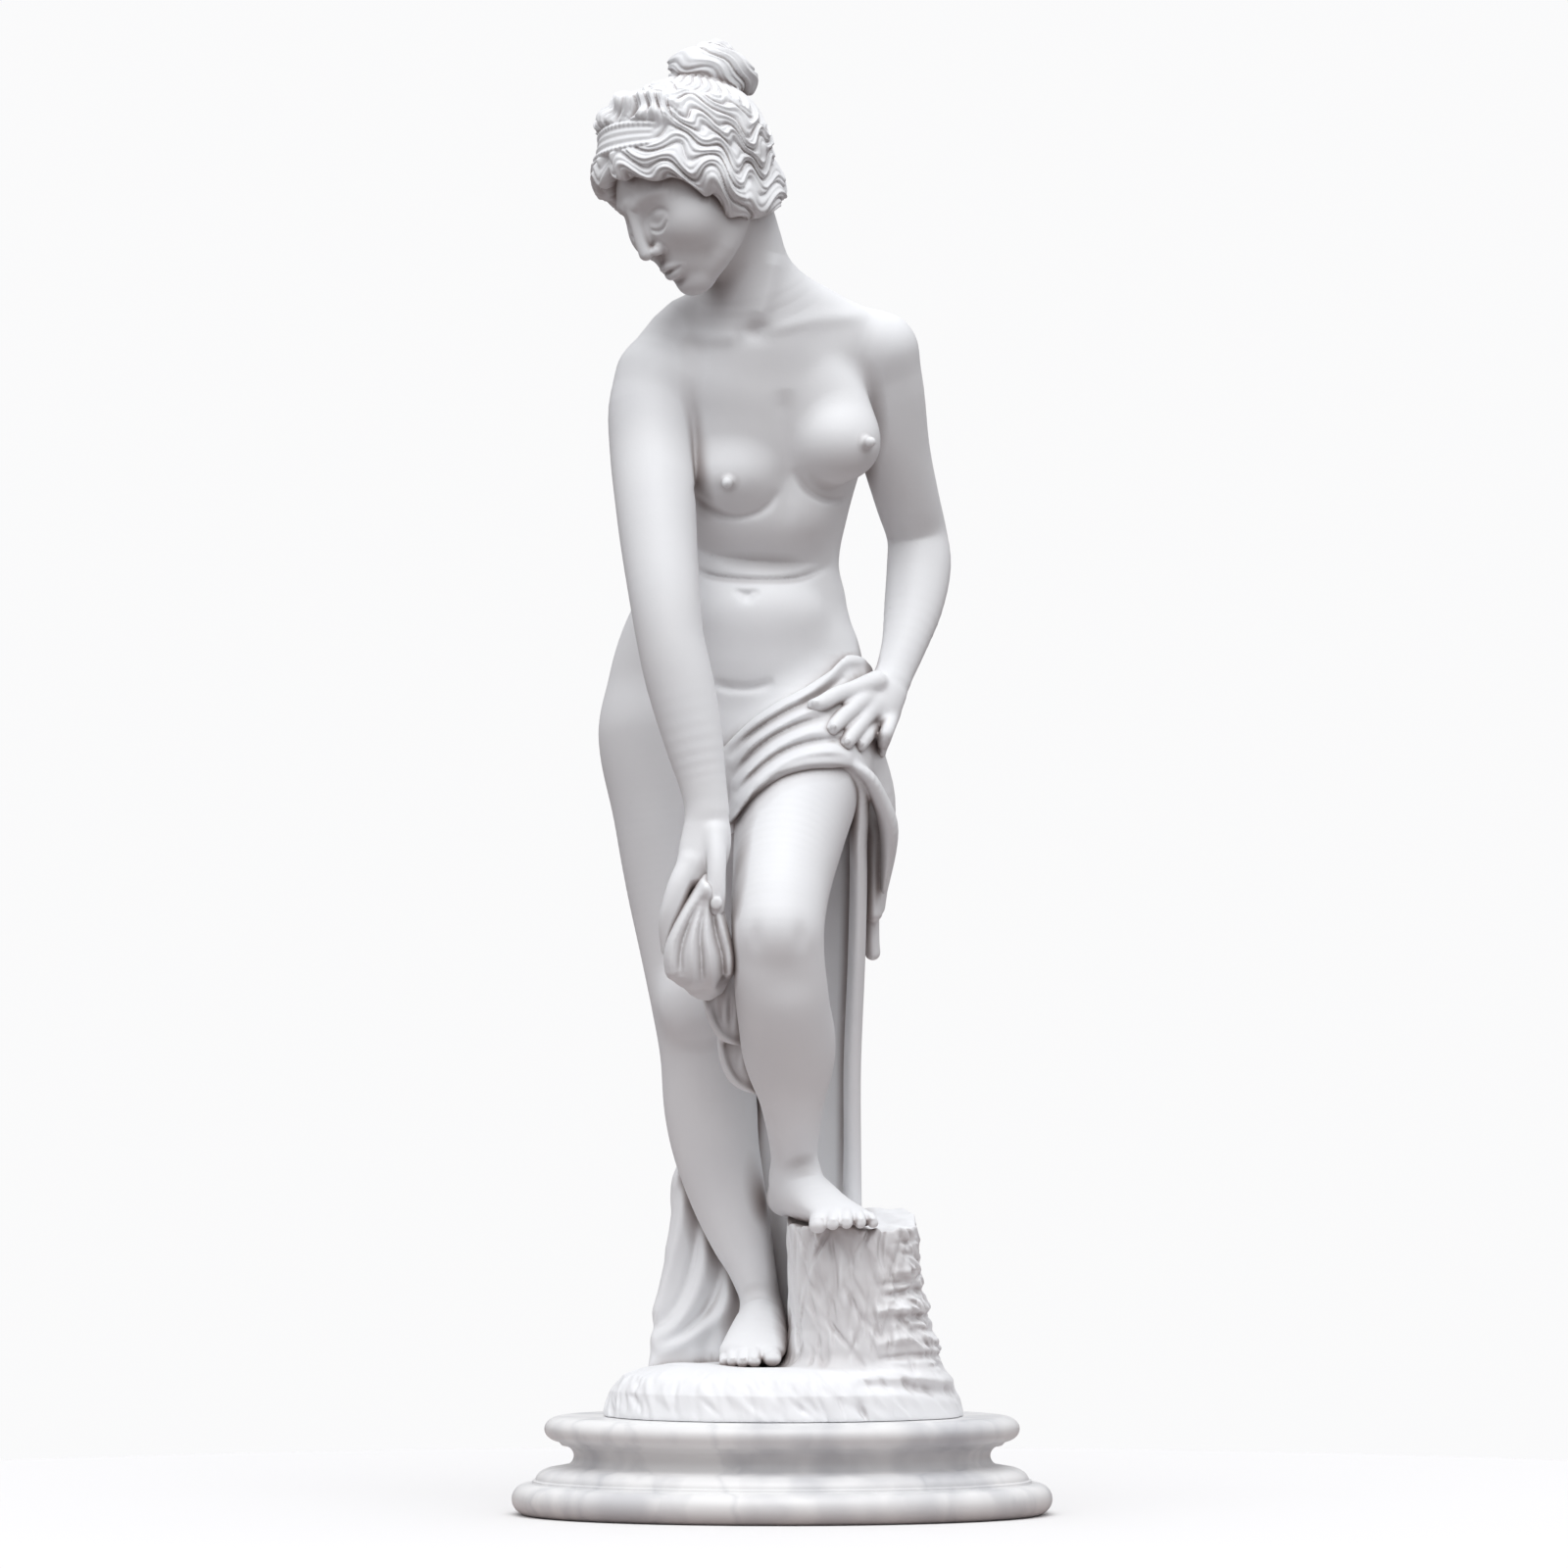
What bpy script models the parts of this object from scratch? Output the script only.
"""A marble bather drying her knee, carved as one block, on a moulded oval plinth.

The figure is drawn on a carver's grid whose squares are a share of the statue's height:
x runs to the viewer's right, y away from the viewer and z up from the floor. It faces -Y.
"""

import math

import bmesh
import bpy
from mathutils import Matrix, Vector

# Driving dimensions, in metres.
STATUE_HEIGHT = 0.84
PLINTH_HEIGHT = 0.0602
SEAT_GAP = 0.0003

# The carver's grid: the statue is 1400 squares high, and its underside is at square 100.
UNDERSIDE = 100
GRID = STATUE_HEIGHT / 1400

# The mound under the figure, on the grid: half sizes, then (height, share of them).
ROCK_HALF_WIDTH, ROCK_HALF_DEPTH = 182, 166
ROCK_STEPS = [(60, 1.0), (104, 1.0), (126, 0.965), (142, 0.9), (152, 0.8)]
ROCK_SIDES = 40

# The plinth, in metres. Its flat top is the mound's oval with a ledge round it.
LEDGE_SIDE = 0.026
LEDGE_FRONT = 0.007
PLINTH_SIDES = 56
UPPER_TORUS = 0.0105
FILLET = 0.0020
SCOTIA_SET_BACK = 0.0180
OVOLO_OUTSET = 0.0160
LOWER_TORUS_OUTSET = 0.0305
# Where each moulding ends, as shares of the plinth's height, from the top down.
UPPER_TORUS_FOOT, SCOTIA_FOOT, OVOLO_FOOT = 0.74, 0.49, 0.35

# The surface of the block, in grid squares, and how many of its facets are kept.
VOXEL = 5.6
SMOOTH_ROUNDS = 3
FACETS_KEPT = 0.0495
SPAN_STEPS = 4
RING_SIDES = 16

MARBLE_WHITE = (0.80, 0.80, 0.81, 1.0)
MARBLE_VEINED = (0.77, 0.77, 0.77, 1.0)

# Every form below is a row of stations on the grid:
# (x, y, z, half width, half depth, turn in degrees about the upright).
TORSO = [
    (-47, 67, 725, 108, 72, -4),
    (-48, 68, 780, 136, 88, -4),
    (-46, 66, 835, 135, 85, -4),
    (-40, 62, 890, 122, 76, -2),
    (-28, 56, 940, 94, 66, 2),
    (-21, 50, 985, 80, 62, 8),
    (-14, 42, 1035, 86, 67, 14),
    (-8, 28, 1090, 97, 74, 20),
    (-8, 12, 1150, 100, 68, 20),
    (-14, 0, 1195, 80, 52, 18),
    (-22, -10, 1230, 52, 44, 10),
]
SHOULDER_SLOPES = [
    [(-40, 20, 1232, 40, 34, 0), (-94, 22, 1208, 40, 36, 0), (-126, -2, 1158, 42, 42, 0)],
    [(0, 14, 1236, 36, 34, 0), (50, 28, 1212, 36, 34, 0), (98, 46, 1188, 38, 38, 0)],
]
NECK = [
    (-20, -4, 1205, 52, 48, 0),
    (-36, -22, 1280, 43, 43, 0),
    (-58, -38, 1345, 44, 46, 0),
]
RIGHT_ARM = [
    (-128, -4, 1150, 46, 44, 0),
    (-134, -20, 1105, 43, 42, 0),
    (-131, -45, 1050, 42, 41, 0),
    (-125, -75, 990, 39, 38, 0),
    (-119, -98, 935, 37, 36, 0),
    (-112, -108, 890, 34, 35, 0),
    (-101, -116, 838, 33, 33, 0),
    (-89, -125, 784, 29, 27, 0),
    (-79, -132, 744, 24, 21, 0),
    (-75, -136, 717, 22, 18, 0),
]
LEFT_ARM = [
    (98, 48, 1184, 42, 42, 0),
    (107, 62, 1140, 40, 40, 0),
    (117, 82, 1085, 36, 38, 0),
    (131, 105, 1035, 32, 35, 0),
    (141, 121, 1000, 31, 32, 0),
    (141, 110, 968, 33, 32, 0),
    (134, 84, 925, 30, 28, 0),
    (125, 52, 885, 24, 22, 0),
    (113, 28, 853, 20, 16, 0),
]
RIGHT_LEG = [
    (-112, 72, 795, 68, 78, 0),
    (-108, 62, 720, 65, 72, 0),
    (-101, 53, 650, 60, 64, 0),
    (-95, 43, 580, 51, 54, 0),
    (-90, 34, 522, 44, 47, 0),
    (-84, 40, 470, 42, 45, 0),
    (-78, 52, 420, 44, 48, 0),
    (-68, 58, 375, 45, 48, 0),
    (-56, 60, 325, 40, 42, 0),
    (-43, 59, 283, 33, 35, 0),
    (-32, 58, 252, 26, 30, 0),
    (-22, 60, 215, 21, 28, 0),
    (-20, 62, 190, 22, 30, 0),
]
LEFT_LEG = [
    (22, 48, 805, 70, 74, 0),
    (22, -10, 750, 66, 68, 0),
    (12, -62, 700, 60, 62, 0),
    (2, -115, 645, 53, 55, 0),
    (-5, -158, 597, 48, 48, 0),
    (-1, -150, 545, 49, 46, 0),
    (4, -122, 500, 48, 50, 0),
    (9, -84, 453, 39, 43, 0),
    (11, -48, 408, 29, 33, 0),
    (12, -20, 372, 25, 28, 0),
    (13, -6, 350, 25, 28, 0),
]
RIGHT_FOOT = [
    (-19, 96, 174, 21, 20, 0),
    (-20, 64, 184, 24, 30, 0),
    (-22, 22, 188, 27, 32, 0),
    (-27, -25, 178, 33, 24, 0),
    (-31, -62, 168, 35, 15, 0),
    (-33, -84, 163, 32, 10, 0),
]
LEFT_FOOT = [
    (4, 26, 322, 20, 20, 0),
    (14, -6, 336, 25, 30, 0),
    (28, -42, 330, 29, 27, 0),
    (48, -76, 316, 33, 18, 0),
    (62, -100, 307, 34, 12, 0),
    (70, -114, 303, 30, 8, 0),
]
# The hand with the cloth: its palm and curled fingers, then its thumb.
RIGHT_HAND = [
    (-75, -136, 717, 22, 18, 0),
    (-82, -146, 685, 27, 16, 0),
    (-90, -152, 655, 27, 15, 0),
    (-106, -154, 622, 18, 15, 0),
    (-112, -150, 594, 12, 12, 0),
]
RIGHT_THUMB = [
    (-70, -150, 700, 13, 13, 0),
    (-66, -168, 660, 13, 13, 0),
    (-65, -176, 618, 11, 10, 0),
]
LEFT_PALM = [
    (113, 28, 853, 20, 16, 0),
    (100, 8, 834, 26, 14, 0),
    (92, -10, 816, 26, 12, 0),
]
# Thumb to little finger of the hand on the hip: knuckle, middle joint and tip.
LEFT_FINGERS = [
    [(84, -8, 842, 11, 11, 0), (52, -32, 838, 9, 9, 0), (32, -42, 826, 8, 8, 0)],
    [(80, -16, 826, 10, 10, 0), (64, -42, 816, 9, 9, 0), (52, -50, 800, 8, 8, 0)],
    [(88, -16, 816, 10, 10, 0), (75, -38, 802, 9, 9, 0), (66, -44, 785, 8, 8, 0)],
    [(98, -8, 812, 10, 10, 0), (88, -28, 798, 9, 9, 0), (80, -34, 783, 8, 8, 0)],
    [(108, 6, 810, 9, 9, 0), (106, -8, 794, 8, 8, 0), (101, -14, 777, 7, 7, 0)],
]
HAND_CLOTH = [
    (-84, -150, 640, 20, 18, 0),
    (-86, -152, 600, 30, 27, 0),
    (-86, -152, 564, 35, 31, 0),
    (-80, -146, 542, 28, 25, 0),
]
# The cloth's end, which drops from the hand between the legs.
HANGING_CLOTH = [
    (-70, -110, 560, 24, 20, 0),
    (-55, -60, 520, 26, 20, 0),
    (-46, -30, 475, 24, 20, 0),
    (-36, -8, 435, 22, 18, 0),
]

# Soft swellings of the body: (x, y, z), (half width, half depth, half height).
MASSES = [
    ((-104, 112, 800), (62, 50, 62)),
    ((-2, 108, 792), (62, 50, 60)),
    ((-42, 18, 872), (74, 40, 62)),
    ((-47, -28, 1063), (43, 42, 42)),
    ((57, -12, 1093), (42, 42, 42)),
    ((-90, 40, 1212), (44, 36, 36)),
    ((-90, -4, 520), (34, 20, 34)),
    ((-6, -172, 588), (38, 30, 34)),
]

# The head has its own frame: it looks down past the viewer's left.
HEAD_CENTRE = (-98, -60, 1371)
HEAD_TURN, HEAD_BOW, HEAD_TILT = 57, 32, 10
# (to her left, forward, up), (half sizes in the same order).
HEAD_MASSES = [
    ((0, -2, 4), (74, 88, 80)),
    ((0, 24, -48), (52, 56, 60)),
    ((0, 50, -90), (23, 24, 25)),
    ((0, 82, -48), (9, 16, 18)),
    ((0, 12, 56), (66, 62, 36)),
    ((0, -62, -36), (56, 42, 42)),
    ((-16, -78, 72), (28, 30, 27)),
    ((10, -94, 68), (28, 28, 26)),
]
# The waved hair from the parting over her left temple and ear to the nape, in two rolls.
HAIR_ROLLS = [
    [
        (4, 84, 44, 12, 12, 0),
        (34, 78, 30, 15, 15, 0),
        (58, 54, 12, 16, 16, 0),
        (68, 20, -8, 15, 15, 0),
        (66, -18, -24, 15, 15, 0),
        (50, -52, -36, 16, 16, 0),
    ],
    [
        (38, 62, 54, 12, 12, 0),
        (58, 40, 44, 15, 15, 0),
        (67, 8, 28, 15, 15, 0),
        (66, -32, 8, 15, 15, 0),
        (46, -64, -10, 15, 15, 0),
    ],
]
HEADBAND = [
    (-70, 30, 34, 11, 6, 0),
    (-44, 66, 56, 11, 6, 0),
    (0, 80, 64, 11, 6, 0),
    (44, 66, 56, 11, 6, 0),
    (70, 30, 34, 11, 6, 0),
]

# The wrap round the hips, and the borders between which its folds fan out.
WRAP = [
    (-46, 8, 762, 26, 50, 0),
    (-15, -5, 782, 34, 66, 0),
    (25, 6, 804, 42, 80, 0),
    (58, 26, 824, 42, 74, 0),
]
WRAP_UPPER = [(-62, -22, 788), (-28, -34, 812), (12, -36, 838), (50, -24, 862), (84, 14, 872)]
WRAP_LOWER = [(-54, -62, 712), (-30, -92, 738), (4, -94, 756), (44, -74, 764), (82, -14, 756)]
WRAP_FOLDS = 5
WRAP_FOLD_RADIUS = 11

# Cloth hanging outside the hip.
HIP_CLOTHS = [
    [(94, -8, 772, 18, 18, 0), (102, 20, 735, 19, 26, 0), (103, 40, 690, 17, 30, 0), (96, 48, 650, 12, 24, 0)],
    [(86, 60, 720, 14, 20, 0), (87, 66, 640, 13, 20, 0), (88, 72, 575, 10, 16, 0)],
]
# The fall behind the legs: where each hanging fold starts, passes and lands.
FALL = [
    [(68, 30, 752), (60, 44, 520), (64, 60, 285)],
    [(58, 72, 750), (46, 74, 520), (40, 84, 230)],
    [(34, 96, 745), (20, 94, 515), (-5, 104, 150)],
    [(0, 104, 735), (-14, 104, 505), (-48, 108, 145)],
    [(-34, 108, 725), (-46, 108, 495), (-90, 104, 140)],
    [(-64, 108, 700), (-72, 104, 480), (-124, 86, 140)],
]
FALL_HALF_WIDTH, FALL_HALF_DEPTH = 20, 16
FALL_SPREAD = 1.25
WEB_THINNING = 0.7

# The tree stump: (x, y, height, half width, half depth) of its squarish sections.
STUMP = [
    (80, 6, 96, 102, 110),
    (82, 4, 140, 86, 106),
    (80, 0, 190, 72, 100),
    (74, -4, 245, 67, 97),
    (71, -5, 296, 66, 95),
]
STUMP_SIDES = 28
STUMP_SQUARENESS = 3.2
STUMP_BACK = [(30, 78, 312, 40, 22, 0), (80, 74, 305, 36, 20, 0), (102, 66, 280, 18, 16, 0)]


def clear_scene():
    for thing in list(bpy.data.objects):
        bpy.data.objects.remove(thing, do_unlink=True)


def material(name, colour, roughness):
    made = bpy.data.materials.new(name)
    made.use_nodes = True
    shader = made.node_tree.nodes["Principled BSDF"]
    shader.inputs["Base Color"].default_value = colour
    shader.inputs["Roughness"].default_value = roughness
    shader.inputs["Metallic"].default_value = 0.0
    return made


def mesh_object(name, bm, finish=None):
    bmesh.ops.recalc_face_normals(bm, faces=bm.faces)
    mesh = bpy.data.meshes.new(name)
    bm.to_mesh(mesh)
    bm.free()
    if finish:
        mesh.materials.append(finish)
    made = bpy.data.objects.new(name, mesh)
    bpy.context.scene.collection.objects.link(made)
    return made


def skin(bm, circles):
    """Faces between neighbouring circles of points, with a flat face on each end."""
    made = [[bm.verts.new(point) for point in circle] for circle in circles]
    sides = len(made[0])
    for lower, upper in zip(made, made[1:]):
        for side in range(sides):
            after = (side + 1) % sides
            bm.faces.new((lower[side], lower[after], upper[after], upper[side]))
    bm.faces.new(list(reversed(made[0])))
    bm.faces.new(made[-1])


def smooth_between(a, b, c, d, t):
    """The Catmull-Rom value at t between b and c."""
    bend = (2 * a - 5 * b + 4 * c - d) * t * t + (3 * b - a - 3 * c + d) * t**3
    return 0.5 * (2 * b + (c - a) * t + bend)


def smooth_path(stations):
    """More stations, along the smooth curve through the given ones."""
    ends = [stations[0], *stations, stations[-1]]
    path = []
    for span in range(len(stations) - 1):
        four = ends[span : span + 4]
        for step in range(SPAN_STEPS):
            share = step / SPAN_STEPS
            path.append([smooth_between(*values, share) for values in zip(*four)])
    path.append(stations[-1])
    return path


def domed(rings, end, way):
    """Two narrowing rings that round off one end of a limb."""
    centre, along, wide, deep = rings[end]
    reach = min(wide.length, deep.length)
    found = []
    for lift in (35, 65):
        rise, narrow = math.sin(math.radians(lift)), math.cos(math.radians(lift))
        found.append((centre + along * way * reach * rise, along, wide * narrow, deep * narrow))
    return found


def add_limb(bm, stations, frame=None, sides=RING_SIDES):
    """A round-ended body through the stations, in the figure's frame or in the head's."""
    frame = frame or Matrix.Scale(GRID, 4)
    path = smooth_path(stations)
    centres = [Vector(station[:3]) for station in path]
    rings = []
    for i, station in enumerate(path):
        ahead, behind = centres[min(i + 1, len(path) - 1)], centres[max(i - 1, 0)]
        along = (ahead - behind).normalized()
        front = Vector((0, -1, 0)) if abs(along.y) < 0.8 else Vector((0, 0, 1))
        front = Matrix.Rotation(math.radians(station[5]), 3, "Z") @ front
        deep = (front - along * front.dot(along)).normalized()
        wide = along.cross(deep)
        rings.append((centres[i], along, wide * station[3], deep * station[4]))
    rings = domed(rings, 0, -1)[::-1] + rings + domed(rings, -1, 1)
    turns = [math.tau * side / sides for side in range(sides)]
    skin(
        bm,
        [
            [frame @ (centre + wide * math.cos(turn) + deep * math.sin(turn)) for turn in turns]
            for centre, _, wide, deep in rings
        ],
    )


def add_mass(bm, centre, half_sizes, frame=None):
    """An ellipsoid, in the figure's frame or in the head's."""
    place = (frame or Matrix.Scale(GRID, 4)) @ Matrix.Translation(Vector(centre))
    stretch = Matrix.Diagonal((*half_sizes, 1))
    bmesh.ops.create_uvsphere(bm, u_segments=20, v_segments=12, radius=1, matrix=place @ stretch)


def head_frame():
    """The head's left, forward and up, at its centre."""
    turn, bow, tilt = (math.radians(angle) for angle in (HEAD_TURN, HEAD_BOW, HEAD_TILT))
    ahead = Vector((-math.sin(turn), -math.cos(turn), 0))
    forward = ahead * math.cos(bow) - Vector((0, 0, math.sin(bow)))
    up = ahead * math.sin(bow) + Vector((0, 0, math.cos(bow)))
    left = up.cross(forward)
    leaning = up * math.cos(tilt) - left * math.sin(tilt)
    axes = Matrix((leaning.cross(forward), forward, leaning)).transposed().to_4x4()
    return Matrix.Scale(GRID, 4) @ Matrix.Translation(Vector(HEAD_CENTRE)) @ axes


def mirrored(stations):
    return [(-left, *rest) for left, *rest in stations]


def between(a, b, share):
    return [p + (q - p) * share for p, q in zip(a, b)]


def add_head(bm):
    frame = head_frame()
    for centre, half_sizes in HEAD_MASSES:
        add_mass(bm, centre, half_sizes, frame)
    for roll in HAIR_ROLLS:
        add_limb(bm, roll, frame)
        add_limb(bm, mirrored(roll), frame)
    add_limb(bm, HEADBAND, frame)


def add_wrap(bm):
    """The cloth round the hips: a thick band, with folds that fan out from the thigh's root."""
    add_limb(bm, WRAP)
    for fold in range(WRAP_FOLDS):
        share = fold / (WRAP_FOLDS - 1)
        line = [between(upper, lower, share) for upper, lower in zip(WRAP_UPPER, WRAP_LOWER)]
        add_limb(bm, [(*p, WRAP_FOLD_RADIUS, WRAP_FOLD_RADIUS, 0) for p in line])


def add_fall(bm):
    """The cloth behind the legs: hanging folds side by side, and a thinner web between them."""

    def hang(column, share):
        wide, deep = FALL_HALF_WIDTH * share, FALL_HALF_DEPTH * share
        spreads = (1, 1, FALL_SPREAD)
        add_limb(bm, [(*p, wide * s, deep * s, 0) for p, s in zip(column, spreads)])

    for column in FALL:
        hang(column, 1)
    for one, other in zip(FALL, FALL[1:]):
        hang([between(p, q, 0.5) for p, q in zip(one, other)], WEB_THINNING)


def add_rock(bm):
    turns = [math.tau * side / ROCK_SIDES for side in range(ROCK_SIDES)]
    circles = []
    for height, share in ROCK_STEPS:
        wide, deep = ROCK_HALF_WIDTH * share, ROCK_HALF_DEPTH * share
        circles.append(
            [Vector((wide * math.cos(t), deep * math.sin(t), height)) * GRID for t in turns]
        )
    skin(bm, circles)


def squarish(value):
    """One coordinate of a rounded square, from the circle's."""
    return math.copysign(abs(value) ** (2 / STUMP_SQUARENESS), value)


def add_stump(bm):
    turns = [math.tau * side / STUMP_SIDES for side in range(STUMP_SIDES)]
    circles = []
    for x, y, height, wide, deep in STUMP:
        circles.append(
            [
                Vector((x + wide * squarish(math.cos(t)), y + deep * squarish(math.sin(t)), height))
                * GRID
                for t in turns
            ]
        )
    skin(bm, circles)
    add_limb(bm, STUMP_BACK)


def saw_cut(lift):
    """The cutter that leaves the block's underside flat at the seat."""
    reach = 4 * ROCK_HALF_WIDTH * GRID
    bm = bmesh.new()
    bmesh.ops.create_cube(bm, size=1.0, matrix=Matrix.Diagonal((reach, reach, reach, 1)))
    made = mesh_object("saw_cut", bm)
    made.location.z = PLINTH_HEIGHT + SEAT_GAP - reach / 2
    made.hide_render = True
    made.display_type = "WIRE"
    return made


def statue(finish):
    """The figure, its cloth, the stump and the mound, fused as one block."""
    bm = bmesh.new()
    limbs = [TORSO, NECK, RIGHT_ARM, LEFT_ARM, RIGHT_LEG, LEFT_LEG, RIGHT_FOOT, LEFT_FOOT]
    hands = [RIGHT_HAND, RIGHT_THUMB, LEFT_PALM, *LEFT_FINGERS]
    cloths = [HAND_CLOTH, HANGING_CLOTH, *HIP_CLOTHS]
    for stations in [*limbs, *SHOULDER_SLOPES, *hands, *cloths]:
        add_limb(bm, stations)
    for centre, half_sizes in MASSES:
        add_mass(bm, centre, half_sizes)
    add_head(bm)
    add_wrap(bm)
    add_fall(bm)
    add_rock(bm)
    add_stump(bm)
    block = mesh_object("statue", bm, finish)
    block.location.z = PLINTH_HEIGHT + SEAT_GAP - UNDERSIDE * GRID

    fuse = block.modifiers.new("fuse", "REMESH")
    fuse.mode = "VOXEL"
    fuse.voxel_size = VOXEL * GRID
    soften = block.modifiers.new("soften", "SMOOTH")
    soften.iterations = int(SMOOTH_ROUNDS)
    soften.factor = 0.5
    facet = block.modifiers.new("facet", "DECIMATE")
    facet.ratio = FACETS_KEPT
    saw = block.modifiers.new("saw", "BOOLEAN")
    saw.operation = "DIFFERENCE"
    saw.object = saw_cut(block.location.z)
    return block


def arc(centre, radii, start, end, steps):
    """Points on a quarter or half of an oval: (outset, height)."""
    angles = [math.radians(start + (end - start) * step / steps) for step in range(steps + 1)]
    wide, high = radii
    return [(centre[0] + wide * math.cos(a), centre[1] + high * math.sin(a)) for a in angles]


def plinth_profile():
    """(outset from the flat top's edge, height), from the top down."""
    torus_foot = UPPER_TORUS_FOOT * PLINTH_HEIGHT
    scotia_foot = SCOTIA_FOOT * PLINTH_HEIGHT
    ovolo_foot = OVOLO_FOOT * PLINTH_HEIGHT
    torus_half = (PLINTH_HEIGHT - torus_foot) / 2
    scotia_half = (torus_foot - FILLET - scotia_foot) / 2
    lower_half = (ovolo_foot - FILLET) / 2
    torus = arc((0, PLINTH_HEIGHT - torus_half), (UPPER_TORUS, torus_half), 90, -80, 6)
    throat = UPPER_TORUS - SCOTIA_SET_BACK
    scotia = arc((0, scotia_foot + scotia_half), (throat, scotia_half), 90, -60, 4)
    ovolo = arc((0, ovolo_foot), (OVOLO_OUTSET, scotia_foot - ovolo_foot), 60, 0, 3)
    shelf = OVOLO_OUTSET + FILLET
    step = [(shelf, ovolo_foot), (shelf, 2 * lower_half)]
    lower = arc((LOWER_TORUS_OUTSET - lower_half, lower_half), (lower_half, lower_half), 90, -60, 6)
    return [*torus, *scotia, *ovolo, *step, *lower, (LOWER_TORUS_OUTSET - lower_half, 0)]


def plinth(finish):
    """The mouldings swept round the oval of the flat top, each outset square to it."""
    half_width = ROCK_HALF_WIDTH * GRID + LEDGE_SIDE
    half_depth = ROCK_HALF_DEPTH * GRID + LEDGE_FRONT
    bm = bmesh.new()
    circles = []
    for outset, height in plinth_profile():
        circle = []
        for side in range(PLINTH_SIDES):
            turn = math.tau * side / PLINTH_SIDES
            rim = Vector((half_width * math.cos(turn), half_depth * math.sin(turn), height))
            outward = Vector((math.cos(turn) / half_width, math.sin(turn) / half_depth, 0))
            circle.append(rim + outward.normalized() * outset)
        circles.append(circle)
    skin(bm, circles)
    return mesh_object("plinth", bm, finish)


def main():
    clear_scene()
    statue(material("white_marble", MARBLE_WHITE, 0.45))
    plinth(material("veined_marble", MARBLE_VEINED, 0.35))


main()
